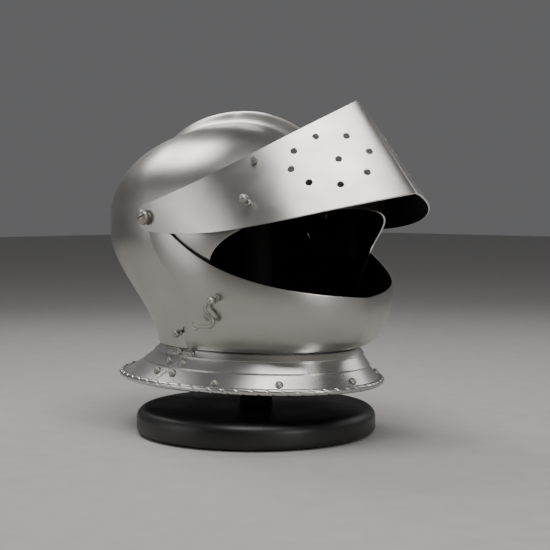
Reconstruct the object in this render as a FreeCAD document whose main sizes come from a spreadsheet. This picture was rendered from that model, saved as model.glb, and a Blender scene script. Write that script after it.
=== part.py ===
import FreeCAD, Part
import Sketcher
import math
import os

# Close helmet of sheet steel on a turned display stand.
# Frame: millimetres, +Z up, the wearer faces -Y, the wearer's right is -X.
# Origin: centre of the stand's underside.  "forward" below means -Y.

os.makedirs("parts", exist_ok=True)
doc = FreeCAD.newDocument("close_helmet")
sheet = doc.addObject("Spreadsheet::Sheet", "dims")

DRIVING = [
    # the axis that the visor and the chin piece share
    ("pivot_forward", -16.0), ("pivot_height", 212.0),
    # skull bowl
    ("bowl_half_length", 138.0), ("bowl_half_width", 118.0), ("bowl_rise", 90.0),
    ("bowl_centre", -24.0), ("bowl_wide_level", 212.0), ("neck_level", 88.5),
    ("neck_shrink", 0.25), ("neck_centre", 2.0), ("plate_gauge", 1.5),
    ("comb_half_length", 146.0), ("comb_rise", 104.0), ("comb_half_width", 10.0),
    ("comb_centre", -34.0), ("brow_level", 221.0),
    # chin piece
    ("chin_half_width", 121.5), ("chin_reach", 148.8), ("chin_side_top", 225.0),
    ("chin_front_top", 139.6), ("chin_ear_radius", 14.5),
    # visor, in its raised position
    ("visor_half_width", 124.2), ("visor_low_reach", 206.7), ("visor_top_reach", 135.3),
    ("visor_low_tip", 234.5), ("visor_top_tip", 318.2), ("visor_ear_radius", 13.0),
    ("breath_diameter", 6.5),
    # gorget collar
    ("collar_gauge", 1.2), ("neck_half_width", 89.0), ("neck_front", 112.0), ("neck_rear", 103.5),
    ("rim_level", 57.0), ("rim_half_width", 110.0), ("rim_front", 146.0), ("rim_rear", 143.0),
    ("rim_centre", -12.0), ("rope_radius", 3.2), ("seam_gap", 0.5),
    # fasteners
    ("screw_head_diameter", 14.0), ("screw_shank_diameter", 6.0), ("screw_slot_width", 1.8),
    ("washer_diameter", 14.0), ("nut_diameter", 12.4), ("running_clearance", 0.05),
    ("rivet_head_diameter", 7.5), ("rivet_shank_diameter", 3.2),
    # stand
    ("base_diameter", 236.0), ("base_thickness", 24.5), ("base_round", 11.0),
    ("base_foot_round", 5.0), ("felt_diameter", 220.0), ("felt_thickness", 1.5),
    ("post_diameter", 32.0), ("rest_level", 262.0), ("rest_diameter", 80.0),
    ("rest_thickness", 6.0), ("rest_rise", 16.0), ("bolt_diameter", 8.0),
    ("bolt_head_thickness", 5.0), ("bolt_grip", 55.0),
]
for row, (name, value) in enumerate(DRIVING, start=1):
    sheet.set("A%d" % row, name)
    sheet.set("B%d" % row, str(value))
    sheet.setAlias("B%d" % row, name)
doc.recompute()


def dim(name):
    return float(sheet.get(name))


# ---------------------------------------------------------------- small helpers

def point(side, forward, height):
    """A point from its distance to the left, its distance forward and its height."""
    return FreeCAD.Vector(side, -forward, height)


def bezier(first, second, third, last, share):
    rest = 1 - share
    return (rest ** 3 * first + 3 * rest * rest * share * second
            + 3 * rest * share * share * third + share ** 3 * last)


def ease(share):
    share = min(max(share, 0.0), 1.0)
    return share * share * (3 - 2 * share)


def spread(count, low=0.0, high=1.0):
    return [low + (high - low) * step / (count - 1) for step in range(count)]


def add_solid(node, shape):
    """Put a finished shape in the document under its node name."""
    item = doc.addObject("Part::Feature", node)
    item.Label = node
    item.Shape = shape
    item.Placement = FreeCAD.Placement()
    return item


def surface(rows):
    patch = Part.BSplineSurface()
    patch.interpolate(rows)
    return patch.toShape()


def plate(outer, inner):
    """A closed solid between two grids of points, outer and inner."""
    walls = [surface(outer), surface(inner)]
    for edge in range(4):
        walls.append(Part.makeRuledSurface(walls[0].Edges[edge], walls[1].Edges[edge]))
    shell = Part.Compound(walls)
    shell.sewShape(1e-4)
    solid = Part.Solid(Part.Shell(shell.Faces))
    if solid.Volume < 0:
        solid.reverse()
    return solid


def thickened(place, across, down, gauge):
    """Outer and inner grids of a plate whose middle layout is place(across, down)."""
    step = 1e-3
    outer, inner = [], []
    for a in across:
        outer_row, inner_row = [], []
        for d in down:
            here = place(a, d)
            along = place(a + step, d) - place(a - step, d)
            below = place(a, d + step) - place(a, d - step)
            normal = along.cross(below).normalize()
            if normal.dot(here - point(0, 0, here.z)) < 0:
                normal = normal * -1
            outer_row.append(here)
            inner_row.append(here - normal * gauge)
        outer.append(outer_row)
        inner.append(inner_row)
    return outer, inner


def side_prism(outline, low_side=-300.0, high_side=300.0):
    """A prism along X over an outline of (forward, height) points."""
    corners = [point(low_side, forward, height) for forward, height in outline]
    face = Part.Face(Part.makePolygon(corners + corners[:1]))
    return face.extrude(FreeCAD.Vector(high_side - low_side, 0, 0))


def curved_prism(curve_points, corner_points):
    """A prism along X whose outline is a smooth curve closed by straight runs."""
    knots = [point(-300, forward, height) for forward, height in curve_points]
    spline = Part.BSplineCurve()
    spline.interpolate(knots)
    corners = [knots[-1]] + [point(-300, *corner) for corner in corner_points] + [knots[0]]
    wire = Part.Wire([spline.toShape()] + Part.makePolygon(corners).Edges)
    return Part.Face(wire).extrude(FreeCAD.Vector(600, 0, 0))


def stood(base, normal, radius, height, angle=0.0):
    """A point given round and along an axis that stands on base along normal."""
    turn = FreeCAD.Rotation(FreeCAD.Vector(0, 0, 1), normal)
    local = FreeCAD.Vector(radius * math.cos(angle), radius * math.sin(angle), height)
    return base + turn.multVec(local)


def turned(profile, base, normal):
    """A turned piece: (radius, height) profile, stood on base along normal."""
    corners = [stood(base, normal, radius, height) for radius, height in profile]
    face = Part.Face(Part.makePolygon(corners + corners[:1]))
    return face.revolve(base, normal, 360)


def domed(radius, rise, start, steps=5):
    """Profile points of a domed head, from its rim at height start to its top."""
    angles = [math.pi / 2 * step / steps for step in range(steps + 1)]
    return [(radius * math.cos(a), start + rise * math.sin(a)) for a in angles]


# ---------------------------------------------------------------- skull bowl

PIVOT = (dim("pivot_forward"), dim("pivot_height"))
COMB_FLANK_DROP = 20.0
FRONT_FULLNESS = 3.0
REAR_FULLNESS = 2.1


def neck_taper(level):
    share = (dim("bowl_wide_level") - level) / (dim("bowl_wide_level") - dim("neck_level"))
    return ease((share - 0.12) / 0.93)


def bowl_section(level, inset):
    """Half-length, half-width and centre of the bowl at one level."""
    above = level - dim("bowl_wide_level")
    if above > 0:
        scale = math.sqrt(max(0.0, 1 - (above / (dim("bowl_rise") - inset)) ** 2))
        return ((dim("bowl_half_length") - inset) * scale,
                (dim("bowl_half_width") - inset) * scale, dim("bowl_centre"))
    taper = neck_taper(level)
    scale = 1 - dim("neck_shrink") * taper
    centre = dim("bowl_centre") + (dim("neck_centre") - dim("bowl_centre")) * taper
    return (dim("bowl_half_length") * scale - inset,
            dim("bowl_half_width") * scale - inset, centre)


def oval(half_length, half_width, centre, level, front=FRONT_FULLNESS, rear=REAR_FULLNESS,
         count=32):
    """A closed smooth oval, fuller in front than behind."""
    ring = []
    for step in range(count):
        angle = 2 * math.pi * step / count
        fullness = 2 / (front if math.cos(angle) > 0 else rear)
        ahead = math.copysign(abs(math.cos(angle)) ** fullness, math.cos(angle))
        aside = math.copysign(abs(math.sin(angle)) ** fullness, math.sin(angle))
        ring.append(point(half_width * aside, centre + half_length * ahead, level))
    curve = Part.BSplineCurve()
    curve.interpolate(ring, PeriodicFlag=True)
    return Part.Wire(curve.toShape())


def bowl_solid(inset, bottom):
    levels = spread(8, bottom, dim("bowl_wide_level"))
    dome = dim("bowl_rise") - inset
    for angle in (18, 35, 50, 63, 74, 82, 87):
        levels.append(dim("bowl_wide_level") + dome * math.sin(math.radians(angle)))
    rings = []
    for level in levels:
        half_length, half_width, centre = bowl_section(level, inset)
        rings.append(oval(half_length, half_width, centre, level))
    return Part.makeLoft(rings, True, False)


def comb_solid(inset):
    """The comb, a ridge with sloping flanks over an elliptical crest line."""
    rings = []
    width = dim("comb_half_width") - inset
    for aside in (-1, 0, 1):
        drop = COMB_FLANK_DROP * abs(aside) + inset
        crest = Part.Ellipse()
        crest.MajorRadius = dim("comb_half_length") - drop
        crest.MinorRadius = dim("comb_rise") - drop
        ring = Part.Wire(crest.toShape())
        ring.rotate(FreeCAD.Vector(), FreeCAD.Vector(0, 0, 1), 90)
        ring.rotate(FreeCAD.Vector(), FreeCAD.Vector(0, 1, 0), 90)
        ring.translate(point(aside * width, dim("comb_centre"), dim("bowl_wide_level")))
        rings.append(ring)
    return Part.makeLoft(rings, True, True)


# (forward, height) along the face opening's edge and the chin piece's rear edge
FACE_EDGE = [(116, 221), (106, 215.5), (93, 208), (79, 199.5), (67, 190.5), (58.5, 181.5),
             (53.5, 172), (49.5, 160), (44, 142), (28, 118), (8, 100), (-1, 88)]
BEVOR_REAR_EDGE = [(-18, 184), (-6, 173), (10, 162), (20, 150), (22, 135), (15, 115), (6, 96),
                   (3, 88)]


def pivot_bore():
    """The bore through both pivots, for the screws' shanks."""
    return Part.makeCylinder(dim("screw_shank_diameter") / 2 + dim("running_clearance"), 300,
                             point(-150, *PIVOT), FreeCAD.Vector(1, 0, 0))


def seat_hole(here, normal, diameter_name="rivet_shank_diameter", depth=6):
    """A hole square through a plate, at a point of its outer face."""
    return Part.makeCylinder(dim(diameter_name) / 2, depth * 2, here - normal * depth, normal)


def skull_shell():
    gauge = dim("plate_gauge")
    shell = bowl_solid(0, dim("neck_level")).fuse(comb_solid(0))
    shell = shell.cut(bowl_solid(gauge, dim("neck_level") - 10)).cut(comb_solid(gauge))
    face_cut = curved_prism(FACE_EDGE, [(-1, 40), (260, 40), (260, dim("brow_level"))])
    shell = shell.cut(face_cut)
    below = side_prism([(-260, 0), (260, 0), (260, dim("neck_level")),
                        (-260, dim("neck_level"))])
    shell = shell.cut(below).cut(pivot_bore())
    shell = shell.cut(seat_hole(*skull_place(*CATCH_SEAT)))
    return max(shell.Solids, key=lambda solid: solid.Volume)


def skull_place(forward, level):
    """Point and outward normal on the bowl, on the wearer's right."""
    def side_at(ahead, height):
        half_length, half_width, centre = bowl_section(height, 0)
        share = abs(ahead - centre) / half_length
        fullness = FRONT_FULLNESS if ahead > centre else REAR_FULLNESS
        side = half_width * (1 - share ** fullness) ** (1 / fullness)
        return point(-side, ahead, height)
    here = side_at(forward, level)
    along = side_at(forward + 0.1, level) - here
    above = side_at(forward, level + 0.1) - here
    normal = along.cross(above).normalize()
    if normal.x > 0:
        normal = normal * -1
    return here, normal


CATCH_SEAT = (2.3, 106.7)
add_solid("skull", skull_shell())


# ---------------------------------------------------------------- plan curves

KEEL_ROUNDING = 6.0


def keel_plan(half_width, reach, lead, keel_angle, pull, share):
    """Plan curve from the pivot side (share 0) to the keel (share 1)."""
    start = PIVOT[0]
    angle = math.radians(keel_angle)
    side = bezier(half_width, half_width, pull * math.sin(angle), 0, share)
    forward = bezier(start, start + lead, reach - pull * math.cos(angle), reach, share)
    forward -= (math.hypot(side, KEEL_ROUNDING) - side) / math.tan(angle)
    return side, forward


def bevor_top(share):
    side, forward = keel_plan(dim("chin_half_width"), dim("chin_reach"), 49.5, 77.7, 118.7,
                              share)
    level = bezier(dim("chin_side_top"), 167.0, 146.3, dim("chin_front_top"), share)
    return side, forward, level


def neck_line(share, level):
    """The front of the neck opening, from beside the pivot to the middle."""
    centre = dim("neck_centre")
    start = math.asin((PIVOT[0] - centre) / dim("neck_front"))
    angle = start + (math.pi / 2 - start) * share
    return (dim("neck_half_width") * math.cos(angle),
            centre + dim("neck_front") * math.sin(angle), level)


def mirrored(layout):
    """Turn a half layout (share 0 to 1) into a whole one (across -1 to 1)."""
    def place(across, down):
        side, forward, level = layout(1 - abs(across), down)
        return point(math.copysign(side, across), forward, level)
    return place


def bevor_half(share, down):
    top = bevor_top(share)
    neck = neck_line(share, dim("neck_level"))
    ahead = neck[1] - dim("neck_centre")
    length = math.hypot(neck[0], ahead)
    swell = bezier(14, 14, 22, 30, share)
    drop = top[2] - neck[2]
    upper = (top[0] * 1.01, top[1], top[2] - drop * 0.5)
    lower = (neck[0] * (1 + swell / length), neck[1] + swell * ahead / length,
             neck[2] + drop * 0.1)
    return [bezier(top[i], upper[i], lower[i], neck[i], down) for i in range(3)]


def visor_half(share, down):
    top = keel_plan(dim("visor_half_width"), dim("visor_top_reach"), 54.3, 75.1, 106.6,
                    share)
    low = keel_plan(dim("visor_half_width"), dim("visor_low_reach"), 101.0, 64.2, 136.5,
                    share)
    ear = dim("visor_ear_radius")
    top_level = bezier(PIVOT[1] + ear, 236.9, 270.7, dim("visor_top_tip"), share)
    low_level = bezier(PIVOT[1] - ear, 191.8, 211.6, dim("visor_low_tip"), share)
    return [top[0] * (1 - down) + low[0] * down, top[1] * (1 - down) + low[1] * down,
            top_level * (1 - down) + low_level * down]


KEEL_STEPS = [0.0, 0.012, 0.03, 0.06, 0.11, 0.18, 0.27, 0.38, 0.5, 0.62, 0.74, 0.86, 0.95, 0.999]
ACROSS = [-step for step in reversed(KEEL_STEPS[1:])] + KEEL_STEPS


def ear_disc(radius, inner_side, gauge):
    """The round end of a plate at the pivot, on the wearer's left."""
    return Part.makeCylinder(radius, gauge, point(inner_side, *PIVOT), FreeCAD.Vector(1, 0, 0))


def both_ears(radius, inner_side, gauge):
    left = ear_disc(radius, inner_side, gauge)
    right = left.mirror(FreeCAD.Vector(0, 0, 0), FreeCAD.Vector(1, 0, 0))
    return left, right


# ---------------------------------------------------------------- chin piece

def bevor_shell():
    gauge = dim("plate_gauge")
    outer, inner = thickened(mirrored(bevor_half), ACROSS, spread(9), gauge)
    shell = plate(outer, inner)
    # keep only what lies in front of the rear edge, and add the round ears
    rear_cut = curved_prism(BEVOR_REAR_EDGE, [(3, 40), (-120, 40), (-120, 184)])
    shell = shell.cut(rear_cut)
    for ear in both_ears(dim("chin_ear_radius"), dim("chin_half_width") - gauge, gauge):
        shell = shell.fuse(ear)
    shell = shell.cut(pivot_bore())
    shell = shell.cut(seat_hole(*plate_normal(bevor_half, *HOOK_SEAT)))
    return max(shell.Solids, key=lambda solid: solid.Volume)


HOOK_SEAT = (0.425, 0.255)


def plate_normal(layout, share, down, right_side=True):
    """Point and outward normal on a plate's outer face."""
    place = mirrored(layout)
    across = (share - 1) if right_side else (1 - share)
    step = 1e-3
    here = place(across, down)
    along = place(across + step, down) - place(across - step, down)
    below = place(across, down + step) - place(across, down - step)
    normal = along.cross(below).normalize()
    if normal.dot(here - point(0, 0, here.z)) < 0:
        normal = normal * -1
    return here, normal


add_solid("bevor", bevor_shell())


# ---------------------------------------------------------------- visor

def breath_places():
    """Share and drop of one central breath and the ring of eight round it."""
    places = [(0.862, 0.478)]
    for step in range(8):
        angle = 2 * math.pi * step / 8
        places.append((0.832 + 0.118 * math.cos(angle),
                       0.453 + 0.050 * math.cos(angle) + 0.295 * math.sin(angle)))
    return places


STUD_SEATS = {"visor_ball_stud": (0.522, 0.647), "visor_spike_stud": (0.608, 0.113)}


def visor_shell():
    gauge = dim("plate_gauge")
    outer, inner = thickened(mirrored(visor_half), ACROSS, spread(4), gauge)
    shell = plate(outer, inner)
    for ear in both_ears(dim("visor_ear_radius"), dim("visor_half_width") - gauge, gauge):
        shell = shell.fuse(ear)
    for share, down in breath_places():
        for right_side in (True, False):
            seat = plate_normal(visor_half, share, down, right_side)
            shell = shell.cut(seat_hole(*seat, "breath_diameter"))
    for share, down in STUD_SEATS.values():
        shell = shell.cut(seat_hole(*plate_normal(visor_half, share, down)))
    shell = shell.cut(pivot_bore())
    return max(shell.Solids, key=lambda solid: solid.Volume)


add_solid("visor", visor_shell())


# ---------------------------------------------------------------- collar

# (level, share of the way from neck to rim) at each lame's visible edges
LAME_EDGES = [(dim("neck_level"), 0.0), (81.0, 0.16), (70.5, 0.45), (dim("rim_level"), 1.0)]
LAME_NAMES = ["upper_lame", "middle_lame", "flange"]
# how far each lame's upper edge is set in under the one above it, and how far up it goes
TUCK_INSETS = [2.5, 1.7, 1.7]
TUCK_RISE = 3.5
TUCK_DEEPER = 0.8


def collar_axes(share):
    """Side, front and rear half-axes and the centre of the collar."""
    def mix(low, high):
        return dim(low) + (dim(high) - dim(low)) * share
    return (mix("neck_half_width", "rim_half_width"), mix("neck_front", "rim_front"),
            mix("neck_rear", "rim_rear"), mix("neck_centre", "rim_centre"))


def collar_point(angle, level, share, inset=0.0):
    side, front, rear, centre = collar_axes(share)
    ahead = math.sin(angle)
    reach = (front if ahead > 0 else rear) - inset
    return point(-(side - inset) * math.cos(angle), centre + reach * ahead, level)


def collar_ring(level, share, inset):
    ring = [collar_point(2 * math.pi * step / 40, level, share, inset) for step in range(40)]
    curve = Part.BSplineCurve()
    curve.interpolate(ring, PeriodicFlag=True)
    return Part.Wire(curve.toShape())


def lame_line(index, overrun=0.0):
    """Level, share and inset of one lame's hidden top, shoulder and lower edge."""
    (top_level, top_share), (low_level, low_share) = LAME_EDGES[index], LAME_EDGES[index + 1]
    above_level, above_share = LAME_EDGES[max(index - 1, 0)]
    slope = (top_share - above_share) / max(above_level - top_level, 1.0)
    rise = TUCK_RISE * (1 + overrun)
    drop = (top_level - low_level) * overrun
    growth = (low_share - top_share) * overrun
    return [(top_level + rise, top_share - slope * rise, TUCK_INSETS[index] + TUCK_DEEPER),
            (top_level, top_share, TUCK_INSETS[index]),
            (low_level - drop, low_share + growth, -TUCK_INSETS[index] * overrun)]


def lame_cone(index, inset, overrun):
    """The cone that bounds one lame, on its outer or inner side."""
    rings = [collar_ring(level, share, tuck + inset)
             for level, share, tuck in lame_line(index, overrun)]
    return Part.makeLoft(rings[::-1], True, True)


SEAM_RELIEF = 2.5


def seam_line(level):
    """How far forward the collar's side seam lies at a level."""
    return 3.0 - 28.0 * (dim("neck_level") - level) / (dim("neck_level") - dim("rim_level"))


def seam_half(front):
    """Prism that keeps the front or the rear of the collar."""
    shift = dim("seam_gap") / 2 if front else -dim("seam_gap") / 2
    far = 300 if front else -300
    low, shoulder, high = 40.0, dim("neck_level") - 1, 110.0
    # inside the neck the rear half stops short of the chin piece's plate
    inside = seam_line(shoulder) + (shift if front else -SEAM_RELIEF)
    return side_prism([(seam_line(low) + shift, low), (far, low), (far, high), (inside, high),
                       (inside, shoulder), (seam_line(shoulder) + shift, shoulder)])


def collar_seat(angle, level):
    """Point and outward normal on the collar, at an angle and a level."""
    band = 0
    while level < LAME_EDGES[band + 1][0]:
        band += 1
    (top_level, top_share), (low_level, low_share) = LAME_EDGES[band], LAME_EDGES[band + 1]
    drop = (top_level - level) / (top_level - low_level)
    share = top_share + (low_share - top_share) * drop
    inset = TUCK_INSETS[band] * (1 - drop)
    here = collar_point(angle, level, share, inset)
    along = collar_point(angle + 0.01, level, share, inset) - here
    normal = along.cross(collar_point(angle, low_level, low_share) - here).normalize()
    return here, normal if normal.z > 0 else normal * -1


SEAM_RIVET_LEVELS = (84.3, 75.5, 65.5)
SEAM_RIVET_OFFSETS = {"front": (8, 9, 10), "rear": (-10, -12, -15)}
# how deep each seam rivet's tail lies: two lames and the gap between them, or the flange
SEAM_RIVET_GRIPS = (4.3, 4.3, 1.6)
RIM_RIVET_LEVEL = 61.5
RIM_RIVET_GRIP = 1.6
RIM_RIVET_ANGLES = {"front": (24, 52, 90, 128, 156), "rear": (-50, -90, -130)}


def rivet_seats(end):
    """Seam rivets as (point, normal, grip) and rim rivets as (point, normal, grip)."""
    seam = []
    for band, level in enumerate(SEAM_RIVET_LEVELS):
        share = (LAME_EDGES[band][1] + LAME_EDGES[band + 1][1]) / 2
        _, ahead, behind, centre = collar_axes(share)
        lead = seam_line(level) + SEAM_RIVET_OFFSETS[end][band] - centre
        angle = math.asin(lead / (ahead if lead > 0 else behind))
        for turn in (angle, math.pi - angle):
            seam.append((*collar_seat(turn, level), SEAM_RIVET_GRIPS[band]))
    rim = [(*collar_seat(math.radians(turn), RIM_RIVET_LEVEL), RIM_RIVET_GRIP)
           for turn in RIM_RIVET_ANGLES[end]]
    return seam, rim


RIVET_SEATS = {end: rivet_seats(end) for end in ("front", "rear")}


def rivet(here, normal, grip):
    """A domed rivet with its closed tail under the plate."""
    head = dim("rivet_head_diameter") / 2
    shank = dim("rivet_shank_diameter") / 2 - dim("running_clearance")
    tail = head * 0.75
    profile = [(0, -grip - 1.2), (tail, -grip - 1.2), (tail, -grip - 0.4), (shank, -grip - 0.4),
               (shank, 0.3), (head, 0.3)] + domed(head, 2.6, 0.3)[1:]
    return turned(profile, here, normal)


def lame(index, end):
    shell = lame_cone(index, 0, 0).cut(lame_cone(index, dim("collar_gauge"), 0.2))
    shell = shell.common(seam_half(end == "front"))
    seam, rim = RIVET_SEATS[end]
    for here, normal, _ in seam + rim:
        shell = shell.cut(seat_hole(here, normal))
    return max(shell.Solids, key=lambda solid: solid.Volume)


def rim_rope(end):
    """The rolled and roped edge, a round bead along the flange's lower edge."""
    radius = dim("rope_radius")
    level, share = LAME_EDGES[-1]
    centre = collar_ring(level - radius * 0.5, share, -radius * 0.3)
    edge = centre.Edges[0]
    start, lead = edge.valueAt(edge.FirstParameter), edge.tangentAt(edge.FirstParameter)
    circle = Part.Wire(Part.Circle(start, lead, radius).toShape())
    bead = centre.makePipeShell([circle], True, False)
    return bead.common(seam_half(end == "front"))


for end in ("rear", "front"):
    for index, lame_name in enumerate(LAME_NAMES):
        shape = lame(index, end)
        if lame_name == "flange":
            shape = shape.fuse(rim_rope(end))
            shape = max(shape.Solids, key=lambda solid: solid.Volume)
        add_solid("%s_collar_%s" % (end, lame_name), shape)
    for kind, seats in zip(("seam", "lining"), RIVET_SEATS[end]):
        add_solid("%s_%s_rivets" % (end, kind),
                  Part.makeCompound([rivet(*seat) for seat in seats]))


# ---------------------------------------------------------------- pivot hardware

def bound(item, **formulas):
    """Bind an object's sizes to the sheet."""
    for name, formula in formulas.items():
        item.setExpression(name, formula)
    return item


SLOT_TURN = 70
NUT_THICKNESS = 5.0


def pivot_set(side_name, sign):
    """Screw, washer and nut at one pivot."""
    outward = FreeCAD.Vector(sign, 0, 0)
    seat = point(0, *PIVOT)
    shank = dim("screw_shank_diameter") / 2
    head = dim("screw_head_diameter") / 2
    face = dim("visor_half_width") + 0.1
    profile = [(0, 106), (shank, 106), (shank, face), (head * 0.62, face),
               (head * 0.62, face + 2), (head, face + 2.6), (head, face + 4.4)]
    profile += domed(head, 3.6, face + 4.4)[1:]
    screw = turned(profile, seat, outward)
    slot = Part.makeBox(20, dim("screw_slot_width"), head * 2 + 2)
    slot.translate(FreeCAD.Vector(face + 5.4, seat.y - dim("screw_slot_width") / 2,
                                  seat.z - head - 1))
    if sign < 0:
        slot = slot.mirror(FreeCAD.Vector(0, 0, 0), FreeCAD.Vector(1, 0, 0))
    slot.rotate(seat, FreeCAD.Vector(1, 0, 0), SLOT_TURN)
    add_solid("pivot_screw_%s" % side_name, screw.cut(slot))
    bore = shank + dim("running_clearance")
    rim = dim("washer_diameter") / 2
    low, high = dim("bowl_half_width") + 0.5, dim("chin_half_width") - dim("plate_gauge") - 0.7
    washer = [(bore, low), (rim, low), (rim, high), (bore, high)]
    add_solid("pivot_washer_%s" % side_name, turned(washer, seat, outward))
    nut_top = dim("bowl_half_width") - dim("plate_gauge") - 0.5
    nut_foot = nut_top - NUT_THICKNESS
    corners = [stood(seat, outward, dim("nut_diameter") / 2, nut_foot, math.radians(60 * n))
               for n in range(6)]
    nut = Part.Face(Part.makePolygon(corners + corners[:1])).extrude(outward * NUT_THICKNESS)
    drill = Part.makeCylinder(bore, NUT_THICKNESS * 3, stood(seat, outward, 0, nut_foot - 5),
                              outward)
    add_solid("pivot_nut_%s" % side_name, nut.cut(drill))


pivot_set("left", 1)
pivot_set("right", -1)


# ---------------------------------------------------------------- studs and hook

SHANK = dim("rivet_shank_diameter") / 2 - dim("running_clearance")


def ball(radius, centre, low=-60, steps=6):
    angles = [math.radians(low + (90 - low) * n / steps) for n in range(steps + 1)]
    return [(radius * math.cos(a), centre + radius * math.sin(a)) for a in angles]


def stud(profile_top):
    """A stud's half profile with its riveted tail under the plate."""
    foot = profile_top[0][1]
    return [(0, -3.2), (2.8, -3.2), (2.8, -2.2), (SHANK, -2.2), (SHANK, foot)] + profile_top


ball_stud = stud([(3.0, 0.1), (3.0, 1.2), (1.9, 2.0), (1.9, 4.5), (2.6, 5.2), (2.6, 6.0)]
                 + ball(4.2, 9.6))
add_solid("visor_ball_stud",
          turned(ball_stud, *plate_normal(visor_half, *STUD_SEATS["visor_ball_stud"])))
spike_stud = stud([(3.4, 0.1), (3.4, 1.4), (2.6, 2.2), (2.9, 3.6), (2.2, 6.0), (1.0, 8.2),
                   (0, 9.0)])
add_solid("visor_spike_stud",
          turned(spike_stud, *plate_normal(visor_half, *STUD_SEATS["visor_spike_stud"])))
catch_stud = stud([(3.4, 0.35), (3.4, 1.4), (2.2, 2.4), (1.7, 4.5), (2.2, 6.2), (3.3, 7.2),
                   (3.3, 8.2), (2.0, 9.2)] + ball(3.9, 13.0, -50))
add_solid("catch_stud", turned(catch_stud, *skull_place(*CATCH_SEAT)))

HOOK_BASE, HOOK_NORMAL = plate_normal(bevor_half, *HOOK_SEAT)
HOOK_STAND_OFF = 4.4
hook_stud = stud([(3.6, 0.1), (3.6, 1.5), (2.2, 2.2), (2.2, 6.6), (3.0, 6.9)]
                 + ball(4.0, 9.8, -45))
add_solid("hook_pivot_stud", turned(hook_stud, HOOK_BASE, HOOK_NORMAL))

# the S-hook lies flat, in a plane parallel to the plate: (forward, up) from its pivot
HOOK_ROD = 1.5
HOOK_PATH = [(-3.6, -1.6), (-8.2, -5.0), (-10.8, -8.6), (-9.8, -12.6), (-6.2, -16.6),
             (-3.4, -21.0), (-5.4, -25.2), (-11.5, -26.2), (-19.0, -26.0)]
HOOK_TIPS = [[(-19.0, -26.0), (-22.8, -26.0), (-25.6, -23.8)],
             [(-19.0, -26.0), (-22.2, -28.0), (-25.4, -29.6)]]


def hook_frame():
    level = FreeCAD.Vector(0, 0, 1)
    up = (level - HOOK_NORMAL * HOOK_NORMAL.dot(level)).normalize()
    ahead = up.cross(HOOK_NORMAL)
    if ahead.y > 0:
        ahead = ahead * -1
    return ahead, up


def rod(path, radius):
    """A round rod through (forward, up) points in the hook's own plane."""
    ahead, up = hook_frame()
    centre = HOOK_BASE + HOOK_NORMAL * HOOK_STAND_OFF
    knots = [centre + ahead * a + up * b for a, b in path]
    pieces = [Part.makeSphere(radius, knot) for knot in knots]
    for start, end in zip(knots, knots[1:]):
        run = end - start
        pieces.append(Part.makeCylinder(radius, run.Length, start, run))
    return pieces


def hook():
    shape = turned([(2.3, HOOK_STAND_OFF - 1.9), (4.4, HOOK_STAND_OFF - 1.9),
                    (4.4, HOOK_STAND_OFF + 1.9), (2.3, HOOK_STAND_OFF + 1.9)],
                   HOOK_BASE, HOOK_NORMAL)
    pieces = rod(HOOK_PATH, HOOK_ROD)
    for tip in HOOK_TIPS:
        pieces += rod(tip, HOOK_ROD * 0.8)
    shape = shape.fuse(pieces)
    return max(shape.Solids, key=lambda solid: solid.Volume)


add_solid("bevor_hook", hook())


# ---------------------------------------------------------------- liner

LINER_FRONT = 36


def liner():
    """A padded cap inside the bowl, cut away round the pivots and the face."""
    pad = bowl_solid(2.2, 150).cut(bowl_solid(14, 140))
    keep = side_prism([(-200, 165), (LINER_FRONT, 165), (LINER_FRONT, 320), (-200, 320)])
    pad = pad.common(keep)
    notch = Part.makeCylinder(15, 300, point(-150, *PIVOT), FreeCAD.Vector(1, 0, 0))
    pad = pad.cut(notch)
    return max(pad.Solids, key=lambda solid: solid.Volume)


add_solid("liner", liner())


# ---------------------------------------------------------------- display stand

def origin_plane(body, role):
    return next(feature for feature in body.Origin.OriginFeatures if feature.Role == role)


def round_pad(body, name, radius_formula, length_formula):
    """A round boss on the body's XY plane, sized from the sheet."""
    sketch = body.newObject("Sketcher::SketchObject", name + "_outline")
    sketch.AttachmentSupport = [(origin_plane(body, "XY_Plane"), "")]
    sketch.MapMode = "FlatFace"
    sketch.addGeometry(Part.Circle(FreeCAD.Vector(0, 0, 0), FreeCAD.Vector(0, 0, 1), 10))
    sketch.addConstraint(Sketcher.Constraint("Coincident", 0, 3, -1, 1))
    sketch.addConstraint(Sketcher.Constraint("Radius", 0, 10))
    sketch.setExpression("Constraints[1]", radius_formula)
    pad = body.newObject("PartDesign::Pad", name + "_pad")
    pad.Profile = sketch
    pad.setExpression("Length", length_formula)
    return pad


def round_bore(body, name, radius_formula, depth_formula):
    """A round bore upward from the body's XY plane."""
    sketch = body.newObject("Sketcher::SketchObject", name + "_outline")
    sketch.AttachmentSupport = [(origin_plane(body, "XY_Plane"), "")]
    sketch.MapMode = "FlatFace"
    sketch.addGeometry(Part.Circle(FreeCAD.Vector(0, 0, 0), FreeCAD.Vector(0, 0, 1), 3))
    sketch.addConstraint(Sketcher.Constraint("Coincident", 0, 3, -1, 1))
    sketch.addConstraint(Sketcher.Constraint("Radius", 0, 3))
    sketch.setExpression("Constraints[1]", radius_formula)
    pocket = body.newObject("PartDesign::Pocket", name + "_pocket")
    pocket.Profile = sketch
    pocket.Reversed = True
    pocket.setExpression("Length", depth_formula)
    return pocket


def rim_edges(shape, level):
    """Names of the circular edges at one height."""
    names = []
    for number, edge in enumerate(shape.Edges, start=1):
        if abs(edge.BoundBox.ZMin - level) < 1e-3 and abs(edge.BoundBox.ZMax - level) < 1e-3:
            names.append("Edge%d" % number)
    return names


def rounded(body, feature, level, radius):
    doc.recompute()
    fillet = body.newObject("PartDesign::Fillet", feature.Name + "_round")
    fillet.Base = (feature, rim_edges(feature.Shape, level))
    fillet.Radius = radius
    doc.recompute()
    return fillet


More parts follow.
